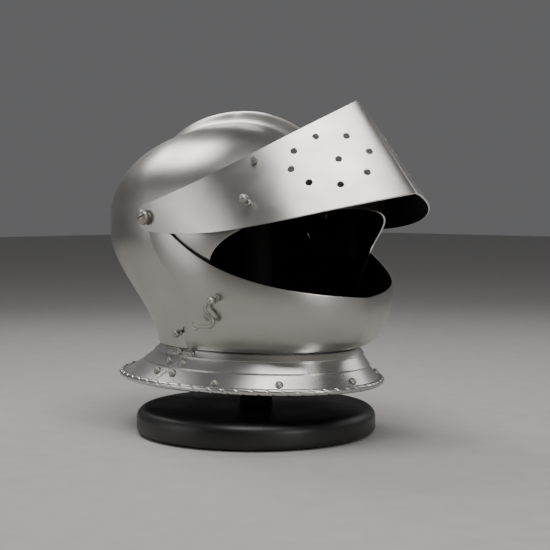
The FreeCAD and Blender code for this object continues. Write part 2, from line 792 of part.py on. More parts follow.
base_felt = doc.addObject("PartDesign::Body", "base_felt")
round_pad(base_felt, "felt", "dims.felt_diameter / 2", "dims.felt_thickness")

stand_base = doc.addObject("PartDesign::Body", "stand_base")
stand_base.Placement = FreeCAD.Placement(FreeCAD.Vector(0, 0, dim("felt_thickness")),
                                         FreeCAD.Rotation())
base_pad = round_pad(stand_base, "base", "dims.base_diameter / 2", "dims.base_thickness")
base_round = rounded(stand_base, base_pad, dim("base_thickness"), dim("base_round"))
base_foot = rounded(stand_base, base_round, 0, dim("base_foot_round"))
volume_before = base_foot.Shape.Volume
round_bore(stand_base, "bolt", "dims.bolt_diameter / 2 + 0.1", "dims.base_thickness")
round_bore(stand_base, "bolt_head", "dims.bolt_diameter + 1", "8 mm")
doc.recompute()
assert stand_base.Shape.Volume < volume_before - 500

stand_post = doc.addObject("PartDesign::Body", "stand_post")
post_foot = dim("felt_thickness") + dim("base_thickness")
stand_post.Placement = FreeCAD.Placement(FreeCAD.Vector(0, 0, post_foot), FreeCAD.Rotation())
post_pad = round_pad(stand_post, "post", "dims.post_diameter / 2",
                     "dims.rest_level - dims.base_thickness - dims.felt_thickness")
doc.recompute()
post_volume = post_pad.Shape.Volume
round_bore(stand_post, "post_bore", "dims.bolt_diameter / 2 + 0.1", "40 mm")
doc.recompute()
assert stand_post.Shape.Volume < post_volume - 500

head_rest = doc.addObject("Part::Fuse", "head_rest")
rest_disc = bound(doc.addObject("Part::Cylinder", "rest_disc"),
                  Radius="dims.rest_diameter / 2", Height="dims.rest_thickness")
rest_disc.Placement = FreeCAD.Placement(FreeCAD.Vector(0, 0, dim("rest_level")),
                                        FreeCAD.Rotation())
rest_ball = bound(doc.addObject("Part::Ellipsoid", "rest_dome"),
                  Radius1="dims.rest_rise", Radius2="dims.rest_diameter / 2", Radius3="0 mm")
rest_ball.Angle1 = 0
rest_ball.Placement = FreeCAD.Placement(FreeCAD.Vector(0, 0, dim("rest_level") + dim("rest_thickness")),
                                        FreeCAD.Rotation())
head_rest.Base = rest_disc
head_rest.Tool = rest_ball
head_rest.Label = "head_rest"

base_bolt = doc.addObject("Part::Fuse", "base_bolt")
bolt_head = bound(doc.addObject("Part::Cylinder", "bolt_head"),
                  Radius="dims.bolt_diameter * 0.9", Height="dims.bolt_head_thickness")
bolt_head.Placement = FreeCAD.Placement(FreeCAD.Vector(0, 0, 3), FreeCAD.Rotation())
bolt_shank = bound(doc.addObject("Part::Cylinder", "bolt_shank"),
                   Radius="dims.bolt_diameter / 2", Height="dims.bolt_grip")
bolt_shank.Placement = FreeCAD.Placement(FreeCAD.Vector(0, 0, 8), FreeCAD.Rotation())
base_bolt.Base = bolt_head
base_bolt.Tool = bolt_shank
base_bolt.Label = "base_bolt"

doc.recompute()

NODES = ["skull", "bevor", "visor", "liner", "bevor_hook", "hook_pivot_stud", "catch_stud",
         "visor_ball_stud", "visor_spike_stud"]
NODES += ["%s_collar_%s" % (end, lame_name) for end in ("front", "rear")
          for lame_name in LAME_NAMES]
NODES += ["%s_%s_rivets" % (end, kind) for end in ("front", "rear")
          for kind in ("seam", "lining")]
NODES += ["pivot_%s_%s" % (kind, end) for kind in ("screw", "washer", "nut")
          for end in ("left", "right")]
NODES += ["base_felt", "stand_base", "stand_post", "head_rest", "base_bolt"]

print("hook pivot", HOOK_BASE, HOOK_NORMAL)
for item in doc.Objects:
    if "Invalid" in item.State or "Error" in item.State:
        raise RuntimeError("%s failed: %s" % (item.Name, item.State))
for node in NODES:
    item = doc.getObjectsByLabel(node)[0]
    if item.Shape.isNull() or not item.Shape.isValid():
        raise RuntimeError("%s has no valid shape" % node)
    item.Shape.exportStep("parts/%s.step" % node)
    box = item.Shape.optimalBoundingBox()
    print("%-26s solids %d volume %9.0f  z %6.1f..%6.1f"
          % (node, len(item.Shape.Solids), item.Shape.Volume, box.ZMin, box.ZMax))
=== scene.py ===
import math

import bmesh
import bpy
from mathutils import Matrix, Vector


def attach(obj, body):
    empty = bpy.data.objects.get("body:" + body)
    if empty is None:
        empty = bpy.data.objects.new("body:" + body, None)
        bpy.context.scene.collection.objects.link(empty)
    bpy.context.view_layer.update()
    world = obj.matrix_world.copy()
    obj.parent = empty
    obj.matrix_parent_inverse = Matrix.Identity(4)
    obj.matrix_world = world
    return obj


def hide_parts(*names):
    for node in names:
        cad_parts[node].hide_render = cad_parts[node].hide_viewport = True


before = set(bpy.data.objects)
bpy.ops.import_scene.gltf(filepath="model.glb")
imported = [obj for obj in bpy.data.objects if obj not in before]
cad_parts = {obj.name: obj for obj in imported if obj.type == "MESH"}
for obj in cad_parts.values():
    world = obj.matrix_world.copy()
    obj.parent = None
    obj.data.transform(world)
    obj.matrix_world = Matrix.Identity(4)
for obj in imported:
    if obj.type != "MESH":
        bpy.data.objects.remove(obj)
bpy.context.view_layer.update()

MM = 0.001

# ---------------------------------------------------------------- driving sizes, in millimetres
# "ahead" is the wearer's forward, -Y; "aside" is the wearer's left, +X.
PIVOT_AHEAD, PIVOT_LEVEL = -16.0, 212.0
GAUGE = 1.5
COLLAR_GAUGE = 1.2
BOWL = dict(length=138.0, width=118.0, rise=90.0, centre=-24.0, level=212.0)
NECK = dict(level=88.5, shrink=0.25, centre=2.0, width=89.0, front=112.0, rear=103.5)
RIM = dict(level=57.0, width=110.0, front=146.0, rear=143.0, centre=-12.0)
FRONT_FULLNESS, REAR_FULLNESS = 3.0, 2.1
BROW_LEVEL = 221.0
COMB_HEIGHT, COMB_HALF_WIDTH = 14.0, 6.0
CHIN_HALF_WIDTH, VISOR_HALF_WIDTH = 121.5, 124.2
CHIN_EAR, VISOR_EAR = 14.5, 13.0
# each plate's upper or lower edge: plan curve from pivot to keel, and heights along it
CHIN_TOP = dict(reach=148.8, lead=49.5, keel_angle=77.7, pull=118.7)
CHIN_TOP_LEVELS = (225, 167, 146.3, 139.6)
VISOR_TOP = dict(reach=135.3, lead=54.3, keel_angle=75.1, pull=106.6)
VISOR_TOP_LEVELS = (PIVOT_LEVEL + VISOR_EAR, 236.9, 270.7, 318.2)
VISOR_LOW = dict(reach=206.7, lead=101.0, keel_angle=64.2, pull=136.5)
VISOR_LOW_LEVELS = (PIVOT_LEVEL - VISOR_EAR, 191.8, 211.6, 234.5)
BREATH_RADIUS = 3.25
# (share from pivot to keel, share down the plate) of what sits on the plates
BALL_STUD_SEAT, SPIKE_STUD_SEAT, HOOK_SEAT = (0.522, 0.647), (0.608, 0.113), (0.425, 0.255)
CATCH_STUD_SEAT = dict(ahead=2.3, level=106.7)
ROPE_RADIUS = 3.2
ROPE_NOTCHES = 60


def spot(aside, ahead, level):
    return Vector((aside, -ahead, level))


def mix(low, high, share):
    return low + (high - low) * share


def bezier(first, second, third, last, share):
    rest = 1 - share
    return (rest ** 3 * first + 3 * rest * rest * share * second
            + 3 * rest * share * share * third + share ** 3 * last)


def ease(share):
    share = min(max(share, 0.0), 1.0)
    return share * share * (3 - 2 * share)


def spread(count, low=0.0, high=1.0):
    return [low + (high - low) * step / (count - 1) for step in range(count)]


def through(knots, level):
    """Smooth height-to-forward curve through (ahead, level) knots, highest first."""
    if level >= knots[0][1]:
        return knots[0][0]
    if level <= knots[-1][1]:
        return knots[-1][0]
    index = next(n for n in range(len(knots) - 1) if knots[n + 1][1] <= level)
    start, end = knots[index], knots[index + 1]
    before = knots[max(index - 1, 0)]
    after = knots[min(index + 2, len(knots) - 1)]
    span = end[1] - start[1]
    share = (level - start[1]) / span
    lead_in = (end[0] - before[0]) / (end[1] - before[1]) * span
    lead_out = (after[0] - start[0]) / (after[1] - start[1]) * span
    square, cube = share * share, share ** 3
    return ((2 * cube - 3 * square + 1) * start[0] + (cube - 2 * square + share) * lead_in
            + (3 * square - 2 * cube) * end[0] + (cube - square) * lead_out)


# ---------------------------------------------------------------- materials

def new_material(name):
    material = bpy.data.materials.new(name)
    material.use_nodes = True
    nodes = material.node_tree.nodes
    return material, nodes, material.node_tree.links, nodes["Principled BSDF"]


def noise_node(nodes, links, scale, stretch=(1, 1, 1), detail=3.0):
    """Object-space noise, stretched along an axis, as a node with a Fac output."""
    place = nodes.new("ShaderNodeTexCoord")
    mapping = nodes.new("ShaderNodeMapping")
    mapping.inputs["Scale"].default_value = stretch
    noise = nodes.new("ShaderNodeTexNoise")
    noise.inputs["Scale"].default_value = scale
    noise.inputs["Detail"].default_value = detail
    links.new(place.outputs["Object"], mapping.inputs["Vector"])
    links.new(mapping.outputs["Vector"], noise.inputs["Vector"])
    return noise


def ramp_node(nodes, links, source, low, high, start=0.3, end=0.7):
    """Turn a Fac into a value or colour between low and high."""
    ramp = nodes.new("ShaderNodeValToRGB")
    ramp.color_ramp.elements[0].position = start
    ramp.color_ramp.elements[1].position = end
    for element, value in zip(ramp.color_ramp.elements, (low, high)):
        colour = value if isinstance(value, tuple) else (value, value, value)
        element.color = (*colour, 1)
    links.new(source.outputs[0], ramp.inputs["Fac"])
    return ramp


def bump_node(nodes, links, source, strength, distance, under=None):
    bump = nodes.new("ShaderNodeBump")
    bump.inputs["Strength"].default_value = strength
    bump.inputs["Distance"].default_value = distance
    links.new(source.outputs[0], bump.inputs["Height"])
    if under is not None:
        links.new(under.outputs["Normal"], bump.inputs["Normal"])
    return bump


def brushed_steel(name, dark, light, rough_low, rough_high, grain=(25, 25, 900), dishing=0.1):
    """Satin sheet steel: fine directional grain, faint dishing and smudged roughness."""
    material, nodes, links, shader = new_material(name)
    shader.inputs["Metallic"].default_value = 1.0
    patina = noise_node(nodes, links, 14, detail=5)
    tint = ramp_node(nodes, links, patina, dark, light, 0.25, 0.75)
    links.new(tint.outputs["Color"], shader.inputs["Base Color"])
    smudge = noise_node(nodes, links, 22, stretch=(1, 1, 1.6), detail=6)
    rough = ramp_node(nodes, links, smudge, rough_low, rough_high, 0.3, 0.72)
    links.new(rough.outputs["Color"], shader.inputs["Roughness"])
    lines = noise_node(nodes, links, 1.0, stretch=grain, detail=4)
    dents = noise_node(nodes, links, 20, detail=1.5)
    dished = bump_node(nodes, links, dents, dishing, 0.004)
    brushed = bump_node(nodes, links, lines, 0.06, 0.0006, dished)
    links.new(brushed.outputs["Normal"], shader.inputs["Normal"])
    return material


def black_paint():
    """Matt black inside finish with a dry, slightly dusty grain."""
    material, nodes, links, shader = new_material("black_inside")
    dust = noise_node(nodes, links, 60, detail=6)
    tint = ramp_node(nodes, links, dust, (0.002, 0.002, 0.002), (0.006, 0.006, 0.006))
    links.new(tint.outputs["Color"], shader.inputs["Base Color"])
    shader.inputs["Roughness"].default_value = 0.85
    shader.inputs["Specular IOR Level"].default_value = 0.08
    bump = bump_node(nodes, links, dust, 0.25, 0.0004)
    links.new(bump.outputs["Normal"], shader.inputs["Normal"])
    return material


def lacquer(name, rough_low, rough_high, gloss):
    """Black lacquer on turned wood, with faint lathe rings and rub marks."""
    material, nodes, links, shader = new_material(name)
    shader.inputs["Specular IOR Level"].default_value = gloss
    rub = noise_node(nodes, links, 30, detail=6)
    tint = ramp_node(nodes, links, rub, (0.006, 0.006, 0.006), (0.014, 0.013, 0.012))
    links.new(tint.outputs["Color"], shader.inputs["Base Color"])
    rough = ramp_node(nodes, links, rub, rough_low, rough_high)
    links.new(rough.outputs["Color"], shader.inputs["Roughness"])
    rings = nodes.new("ShaderNodeTexWave")
    rings.wave_type = "RINGS"
    rings.rings_direction = "Z"
    rings.inputs["Scale"].default_value = 220
    rings.inputs["Distortion"].default_value = 1.5
    place = nodes.new("ShaderNodeTexCoord")
    links.new(place.outputs["Object"], rings.inputs["Vector"])
    turned_rings = bump_node(nodes, links, rings, 0.04, 0.0003)
    grain = bump_node(nodes, links, rub, 0.08, 0.0008, turned_rings)
    links.new(grain.outputs["Normal"], shader.inputs["Normal"])
    return material


def cloth(name, dark, light, weave=900.0, sheen=0.02):
    """Woven or felted black cloth with a sheen and a fine thread pattern."""
    material, nodes, links, shader = new_material(name)
    fibre = noise_node(nodes, links, 180, detail=6)
    tint = ramp_node(nodes, links, fibre, dark, light)
    links.new(tint.outputs["Color"], shader.inputs["Base Color"])
    shader.inputs["Roughness"].default_value = 0.92
    shader.inputs["Sheen Weight"].default_value = sheen
    shader.inputs["Specular IOR Level"].default_value = 0.15
    threads = []
    for direction in ("X", "Z"):
        wave = nodes.new("ShaderNodeTexWave")
        wave.bands_direction = direction
        wave.inputs["Scale"].default_value = weave
        wave.inputs["Distortion"].default_value = 0.6
        place = nodes.new("ShaderNodeTexCoord")
        links.new(place.outputs["Object"], wave.inputs["Vector"])
        threads.append(wave)
    first = bump_node(nodes, links, threads[0], 0.3, 0.0002)
    second = bump_node(nodes, links, threads[1], 0.3, 0.0002, first)
    fuzz = bump_node(nodes, links, fibre, 0.4, 0.0004, second)
    links.new(fuzz.outputs["Normal"], shader.inputs["Normal"])
    return material


PLATE = brushed_steel("plate_steel", (0.44, 0.42, 0.39), (0.56, 0.54, 0.51), 0.27, 0.36)
# bright edge colour, lighter than any steel: partly a filed finish, partly a painted highlight along
# the rims
EDGE_FILED_AND_PAINTED_HIGHLIGHT = brushed_steel("filed_edge_and_painted_highlight", (0.80, 0.79, 0.77), (0.9, 0.89, 0.87), 0.18, 0.28,
                     grain=(600, 600, 600))
TURNED = brushed_steel("turned_steel", (0.34, 0.32, 0.285), (0.52, 0.50, 0.46), 0.4, 0.52,
                       grain=(300, 300, 300), dishing=0.0)
COLLAR = brushed_steel("collar_steel", (0.54, 0.53, 0.51), (0.66, 0.65, 0.625), 0.25, 0.34,
                       grain=(30, 30, 1200))
INSIDE = black_paint()
BLACK = lacquer("satin_black_lacquer", 0.34, 0.5, 0.5)
MATT_BLACK = lacquer("matt_black_lacquer", 0.6, 0.75, 0.12)
# near-black cotton, made darker than real cloth: painted shade for the dark inside of the bowl
LINER_CLOTH_AND_PAINTED_SHADE = cloth("quilted_black_cotton_and_painted_shade", (0.003, 0.003, 0.003), (0.009, 0.009, 0.009))
FELT = cloth("black_felt", (0.01, 0.01, 0.01), (0.03, 0.03, 0.03), 2400.0)
ZINC = brushed_steel("zinc_bolt", (0.5, 0.5, 0.5), (0.62, 0.62, 0.62), 0.3, 0.4,
                     grain=(300, 300, 300))


# ---------------------------------------------------------------- mesh helpers

def finished(name, mesh, materials, body, nodes, crease=38):
    """Turn a millimetre mesh into a placed piece that rides and replaces its CAD nodes."""
    mesh.transform(Matrix.Scale(MM, 4))
    mesh.shade_smooth()
    mesh.set_sharp_from_angle(angle=math.radians(crease))
    for material in materials:
        mesh.materials.append(material)
    piece = bpy.data.objects.new(name, mesh)
    bpy.context.scene.collection.objects.link(piece)
    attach(piece, body)
    if nodes:
        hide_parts(*nodes)
    return piece


def mesh_from(name, bm):
    mesh = bpy.data.meshes.new(name)
    bm.to_mesh(mesh)
    bm.free()
    return mesh


def grid(place, rows, columns, closed=False):
    """A bmesh sheet over place(row, column); closed joins the last column to the first."""
    bm = bmesh.new()
    points = [[bm.verts.new(place(row, column)) for column in columns] for row in rows]
    last = len(columns) if closed else len(columns) - 1
    for upper, lower in zip(points, points[1:]):
        for index in range(last):
            after = (index + 1) % len(columns)
            bm.faces.new((upper[index], upper[after], lower[after], lower[index]))
    return bm


def trim(bm, keep):
    """Cut a sheet along keep(point) = 0 and drop the side where it is negative."""
    values = {vert: keep(vert.co) for vert in bm.verts}
    for edge in list(bm.edges):
        start, end = edge.verts
        low, high = values[start], values[end]
        if low * high < 0 and min(abs(low), abs(high)) > 1e-4:
            _, vert = bmesh.utils.edge_split(edge, start, low / (low - high))
            values[vert] = 0.0
    for face in list(bm.faces):
        zeros = [vert for vert in face.verts if abs(values[vert]) <= 1e-4]
        signs = [values[vert] for vert in face.verts if abs(values[vert]) > 1e-4]
        if len(zeros) == 2 and signs and min(signs) < 0 < max(signs):
            bmesh.utils.face_split(face, zeros[0], zeros[1])
    outside = []
    for face in bm.faces:
        if sum(values[vert] for vert in face.verts) < 0:
            outside.append(face)
    bmesh.ops.delete(bm, geom=outside, context="FACES")
    lonely = [vert for vert in bm.verts if not vert.link_faces]
    bmesh.ops.delete(bm, geom=lonely, context="VERTS")
    bmesh.ops.remove_doubles(bm, verts=bm.verts, dist=1e-3)


def face_out(bm, centre):
    """Make the sheet's faces look away from a centre point."""
    bmesh.ops.recalc_face_normals(bm, faces=bm.faces)
    bm.normal_update()
    facing = sum(face.normal.dot(face.calc_center_median() - centre) * face.calc_area()
                 for face in bm.faces)
    if facing < 0:
        bmesh.ops.reverse_faces(bm, faces=bm.faces)


def sheet_metal(name, bm, gauge, body, nodes, outer=None):
    """Give a trimmed sheet its gauge: steel outside, black inside, bright edges that are partly filed
    and partly a painted highlight.
    """
    piece = finished(name, mesh_from(name, bm), [outer or PLATE, INSIDE, EDGE_FILED_AND_PAINTED_HIGHLIGHT], body, nodes)
    wall = piece.modifiers.new("gauge", "SOLIDIFY")
    wall.thickness = gauge * MM
    wall.offset = -1
    wall.use_even_offset = True
    wall.material_offset = 1
    wall.material_offset_rim = 2
    # the bevelled rims take the bright edge colour, which is partly a painted highlight
    edge = piece.modifiers.new("filed_edge_and_painted_highlight", "BEVEL")
    edge.width = 0.6 * MM
    edge.segments = 3
    edge.material = 2
    edge.limit_method = "ANGLE"
    edge.angle_limit = math.radians(60)
    return piece


def stood(base, normal):
    """Matrix that stands a turned piece on base along normal."""
    turn = Vector((0, 0, 1)).rotation_difference(normal).to_matrix().to_4x4()
    return Matrix.Translation(base) @ turn


def add_turned(bm, profile, base, normal, segments=40):
    """Add a lathe-turned closed solid: (radius, height) profile from axis to axis."""
    place = stood(base, normal)
    rings = []
    for radius, height in profile:
        if radius < 1e-6:
            rings.append([bm.verts.new(place @ Vector((0, 0, height)))])
            continue
        angles = [2 * math.pi * step / segments for step in range(segments)]
        rings.append([bm.verts.new(place @ Vector((radius * math.cos(a),
                                                   radius * math.sin(a), height)))
                      for a in angles])
    for low, high in zip(rings, rings[1:]):
        for step in range(segments):
            after = (step + 1) % segments
            corners = [low[step % len(low)], low[after % len(low)],
                       high[after % len(high)], high[step % len(high)]]
            unique = list(dict.fromkeys(corners))
            if len(unique) > 2:
                bm.faces.new(unique)


def rounded(knots, radius=0.35, steps=3):
    """Round every inner corner of a turned profile."""
    result = [Vector(knots[0])]
    for before, corner, after in zip(knots, knots[1:], knots[2:]):
        here = Vector(corner)
        into, out = Vector(before) - here, Vector(after) - here
        reach = min(radius, into.length * 0.4, out.length * 0.4)
        if reach < 1e-3:
            result.append(here)
            continue
        start, end = here + into.normalized() * reach, here + out.normalized() * reach
        for step in range(steps + 1):
            share = step / steps
            result.append(start * (1 - share) ** 2 + here * 2 * share * (1 - share)
                          + end * share ** 2)
    result.append(Vector(knots[-1]))
    return [(point.x, point.y) for point in result]


def dome(radius, rise, start, steps=10):
    angles = [math.pi / 2 * step / steps for step in range(steps + 1)]
    return [(radius * math.cos(a), start + rise * math.sin(a)) for a in angles[:-1]] + [
        (0, start + rise)]


def ball(radius, centre, low=-60, steps=14):
    angles = [math.radians(mix(low, 90, step / steps)) for step in range(steps)]
    return [(radius * math.cos(a), centre + radius * math.sin(a)) for a in angles] + [
        (0, centre + radius)]


def turned_piece(name, profiles, body, nodes, material=None, segments=40):
    """One piece from several (profile, base, normal) turned solids."""
    bm = bmesh.new()
    for profile, base, normal in profiles:
        add_turned(bm, profile, base, normal, segments)
    bmesh.ops.recalc_face_normals(bm, faces=bm.faces)
    return finished(name, mesh_from(name, bm), [material or TURNED], body, nodes, 50)


# ---------------------------------------------------------------- skull bowl

FACE_EDGE = [(116, 221), (106, 215.5), (93, 208), (79, 199.5), (67, 190.5), (58.5, 181.5),
             (53.5, 172), (49.5, 160), (44, 142), (28, 118), (8, 100), (-1, 88)]


def neck_taper(level):
    share = (BOWL["level"] - level) / (BOWL["level"] - NECK["level"])
    return ease((share - 0.12) / 0.93)


def bowl_section(level):
    """Half-length, half-width and centre of the bowl at one level."""
    if level > BOWL["level"]:
        scale = math.sqrt(max(0.0, 1 - ((level - BOWL["level"]) / BOWL["rise"]) ** 2))
        return BOWL["length"] * scale, BOWL["width"] * scale, BOWL["centre"]
    taper = neck_taper(level)
    scale = 1 - NECK["shrink"] * taper
    return (BOWL["length"] * scale, BOWL["width"] * scale,
            mix(BOWL["centre"], NECK["centre"], taper))


def comb_rise(ahead, level):
    """Height of the comb at a place on the middle line: it fades at brow and nape."""
    brow = ease((112 - ahead) / 45) if ahead > 0 else 1.0
    nape = ease((level - 132) / 60)
    return (COMB_HEIGHT + 2.5 * ease((-ahead - 20) / 80)) * brow * nape


# the last ring stops just short of the crown, and the columns crowd toward the comb
NEAR_CROWN = 0.998
CROWDING = 0.36


def bowl_point(row, column):
    """Row runs from the neck (0) over the widest level (0.5) to the crown (1)."""
    if row <= 0.5:
        level = mix(NECK["level"], BOWL["level"], row * 2)
    else:
        level = BOWL["level"] + BOWL["rise"] * math.sin((row - 0.5) * math.pi * NEAR_CROWN)
    half_length, half_width, centre = bowl_section(level)
    angle = column - CROWDING * math.sin(2 * column)
    fullness = 2 / (FRONT_FULLNESS if math.cos(angle) > 0 else REAR_FULLNESS)
    ahead = centre + half_length * math.copysign(abs(math.cos(angle)) ** fullness,
                                                 math.cos(angle))
    aside = half_width * math.copysign(abs(math.sin(angle)) ** fullness, math.sin(angle))
    comb_width = COMB_HALF_WIDTH + 5 * ease((-ahead - 20) / 90)
    lift = comb_rise(ahead, level) / (1 + (abs(aside) / comb_width) ** 3.0)
    away = Vector((ahead - BOWL["centre"], level - BOWL["level"] + 12))
    away.normalize()
    return spot(aside, ahead + away.x * lift, level + away.y * lift)


def face_opening(point):
    """Negative where the bowl is cut away in front of the face."""
    above = point.z - BROW_LEVEL
    behind = through(FACE_EDGE, point.z) + point.y
    return max(above, behind)


def skull():
    columns = [2 * math.pi * step / 420 for step in range(420)]
    bm = grid(bowl_point, spread(190), columns, closed=True)
    trim(bm, face_opening)
    face_out(bm, spot(0, -20, 200))
    return sheet_metal("skull_plate", bm, GAUGE, "helmet", ["skull"])


skull()


# ---------------------------------------------------------------- chin piece and visor

BEVOR_REAR_EDGE = [(-16, 198), (-10, 184), (-2, 173), (10, 162), (20, 150), (22, 135), (15, 115),
                   (6, 96), (3, 88)]
KEEL_ROUNDING = 6.0


def keel_plan(half_width, share, reach, lead, keel_angle, pull):
    """Plan curve from the pivot side (share 0) to the keel (share 1)."""
    angle = math.radians(keel_angle)
    aside = bezier(half_width, half_width, pull * math.sin(angle), 0, share)
    ahead = bezier(PIVOT_AHEAD, PIVOT_AHEAD + lead, reach - pull * math.cos(angle), reach, share)
    ahead -= (math.hypot(aside, KEEL_ROUNDING) - aside) / math.tan(angle)
    return aside, ahead


def bevor_half(share, down):
    aside, ahead = keel_plan(CHIN_HALF_WIDTH, share, **CHIN_TOP)
    top = (aside, ahead, bezier(*CHIN_TOP_LEVELS, share))
    start = math.asin((PIVOT_AHEAD - NECK["centre"]) / NECK["front"])
    angle = mix(start, math.pi / 2, share)
    neck = (NECK["width"] * math.cos(angle), NECK["centre"] + NECK["front"] * math.sin(angle),
            NECK["level"])
    lead = neck[1] - NECK["centre"]
    swell = bezier(14, 14, 22, 30, share) / math.hypot(neck[0], lead)
    drop = top[2] - neck[2]
    upper = (top[0] * 1.01, top[1], top[2] - drop * 0.5)
    lower = (neck[0] * (1 + swell), neck[1] + swell * lead, neck[2] + drop * 0.1)
    return [bezier(top[i], upper[i], lower[i], neck[i], down) for i in range(3)]


def visor_half(share, down):
    top = keel_plan(VISOR_HALF_WIDTH, share, **VISOR_TOP)
    low = keel_plan(VISOR_HALF_WIDTH, share, **VISOR_LOW)
    top_level = bezier(*VISOR_TOP_LEVELS, share)
    low_level = bezier(*VISOR_LOW_LEVELS, share)
    return [mix(top[0], low[0], down), mix(top[1], low[1], down), mix(top_level, low_level, down)]


def mirrored(layout, ear):
    """Whole plate over across -1 to 1; beyond that, flat ears behind the pivots."""
    def place(across, down):
        share = 1 - abs(across)
        aside, ahead, level = layout(max(share, 0), down)
        if share < 0:
            ahead += share * 10 * ear
            level = mix(PIVOT_LEVEL + ear, PIVOT_LEVEL - ear, down)
        return spot(math.copysign(aside, across), ahead, level)
    return place


def across_steps(count, ear_steps):
    half = [share ** 1.25 for share in spread(count)]
    ears = [1 + 0.13 * (step + 1) / ear_steps for step in range(ear_steps)]
    right = half[1:] + ears
    return [-share for share in reversed(right)] + [0.0] + right


def pivot_distance(point):
    return math.hypot(-point.y - PIVOT_AHEAD, point.z - PIVOT_LEVEL)


def bevor_outline(point):
    """Positive on the chin piece: in front of its rear edge, or inside the round ear."""
    ahead = -point.y
    if point.z > 198 and ahead < PIVOT_AHEAD + 2:
        return CHIN_EAR - pivot_distance(point)
    return min(ahead - through(BEVOR_REAR_EDGE, point.z), 40)


def plate_seat(layout, share, down, right_side=True):
    """Point and outward normal on a plate's outer face."""
    place = mirrored(layout, 1.0)
    across = (share - 1) if right_side else (1 - share)
    step = 1e-3
    here = place(across, down)
    along = place(across + step, down) - place(across - step, down)
    below = place(across, down + step) - place(across, down - step)
    normal = along.cross(below).normalized()
    if normal.dot(here - spot(0, 0, here.z)) < 0:
        normal = -normal
    return here, normal


def bevor():
    bm = grid(mirrored(bevor_half, CHIN_EAR), across_steps(150, 12), spread(70))
    trim(bm, bevor_outline)
    face_out(bm, spot(0, 30, 140))
    return sheet_metal("bevor_plate", bm, GAUGE, "chin_piece", ["bevor"])


def breath_places():
    places = [(0.862, 0.478)]
    for step in range(8):
        angle = 2 * math.pi * step / 8
        places.append((0.832 + 0.118 * math.cos(angle),
                       0.453 + 0.050 * math.cos(angle) + 0.295 * math.sin(angle)))
    return places


def visor():
    bm = grid(mirrored(visor_half, VISOR_EAR), across_steps(240, 14), spread(100))
    seats = [plate_seat(visor_half, share, down, side) for share, down in breath_places()
             for side in (True, False)]

    def outline(point):
        if -point.y < PIVOT_AHEAD:
            return VISOR_EAR - pivot_distance(point)
        nearest = min(seats, key=lambda seat: (point - seat[0]).length_squared)
        off = point - nearest[0]
        return (off - nearest[1] * off.dot(nearest[1])).length - BREATH_RADIUS
    trim(bm, outline)
    face_out(bm, spot(0, 60, 230))
    return sheet_metal("visor_plate", bm, GAUGE, "face_guard", ["visor"])


bevor()
visor()


# ---------------------------------------------------------------- collar

LAME_EDGES = [(NECK["level"], 0.0), (81.0, 0.16), (70.5, 0.45), (RIM["level"], 1.0)]
LAME_NAMES = ["upper_lame", "middle_lame", "flange"]
TUCK_INSETS = [2.5, 1.7, 1.7]
TUCK_RISE, TUCK_DEEPER = 3.5, 0.8
SEAM_GAP = 0.5


def collar_point(angle, level, share, inset=0.0):
    width = mix(NECK["width"], RIM["width"], share)
    reach = mix(NECK["front"], RIM["front"], share) if math.sin(angle) > 0 else (
        mix(NECK["rear"], RIM["rear"], share))
    centre = mix(NECK["centre"], RIM["centre"], share)
    return spot(-(width - inset) * math.cos(angle), centre + (reach - inset) * math.sin(angle),
                level)


def seam_line(level):
    return 3.0 - 28.0 * (NECK["level"] - level) / (NECK["level"] - RIM["level"])


def collar_half(front):
    def keep(point):
        lead = -point.y - seam_line(point.z)
        return (lead if front else -lead) - SEAM_GAP / 2
    return keep


def lame_point(index):
    """One lame's outer face: rows below 0 are the part tucked up under the lame above."""
    (top_level, top_share), (low_level, low_share) = LAME_EDGES[index], LAME_EDGES[index + 1]
    above_level, above_share = LAME_EDGES[max(index - 1, 0)]
    slope = (top_share - above_share) / max(above_level - top_level, 1.0)

    def place(row, column):
        if row < 0:
            rise = -row * TUCK_RISE
            return collar_point(column, top_level + rise, top_share - slope * rise,
                                TUCK_INSETS[index] - row * TUCK_DEEPER)
        hollow = 0.25 * math.sin(math.pi * row)
        return collar_point(column, mix(top_level, low_level, row),
                            mix(top_share, low_share, row),
                            TUCK_INSETS[index] * (1 - row) + hollow)
    return place


def collar_seat(angle, level):
    """Point and outward normal on the collar's outer face."""
    band = next(n for n in range(3) if level >= LAME_EDGES[n + 1][0])
    place = lame_point(band)
    top, low = LAME_EDGES[band][0], LAME_EDGES[band + 1][0]
    row = (top - level) / (top - low)
    here = place(row, angle)
    along = place(row, angle + 0.01) - here
    normal = along.cross(place(row + 0.01, angle) - here).normalized()
    return here, normal if normal.z > 0 else -normal


SEAM_RIVET_LEVELS = (84.3, 75.5, 65.5)
FRONT_SEAM_OFFSETS, REAR_SEAM_OFFSETS = (8, 9, 10), (-10, -12, -15)
FRONT_LINING_ANGLES, REAR_LINING_ANGLES = (24, 52, 90, 128, 156), (-50, -90, -130)
LINING_RIVET_LEVEL = 61.5
SEAM_GRIP, LINING_GRIP = 3.1, 1.6


def rivet_seats(front):
    """Seam rivets and lining rivets of one half of the collar."""
    seam = []
    offsets = FRONT_SEAM_OFFSETS if front else REAR_SEAM_OFFSETS
    for band, (level, offset) in enumerate(zip(SEAM_RIVET_LEVELS, offsets)):
        share = (LAME_EDGES[band][1] + LAME_EDGES[band + 1][1]) / 2
        centre = mix(NECK["centre"], RIM["centre"], share)
        lead = seam_line(level) + offset - centre
        reach = mix(NECK["front"], RIM["front"], share) if lead > 0 else (
            mix(NECK["rear"], RIM["rear"], share))
        angle = math.asin(lead / reach)
        seam += [collar_seat(angle, level), collar_seat(math.pi - angle, level)]
    around = FRONT_LINING_ANGLES if front else REAR_LINING_ANGLES
    return seam, [collar_seat(math.radians(turn), LINING_RIVET_LEVEL) for turn in around]


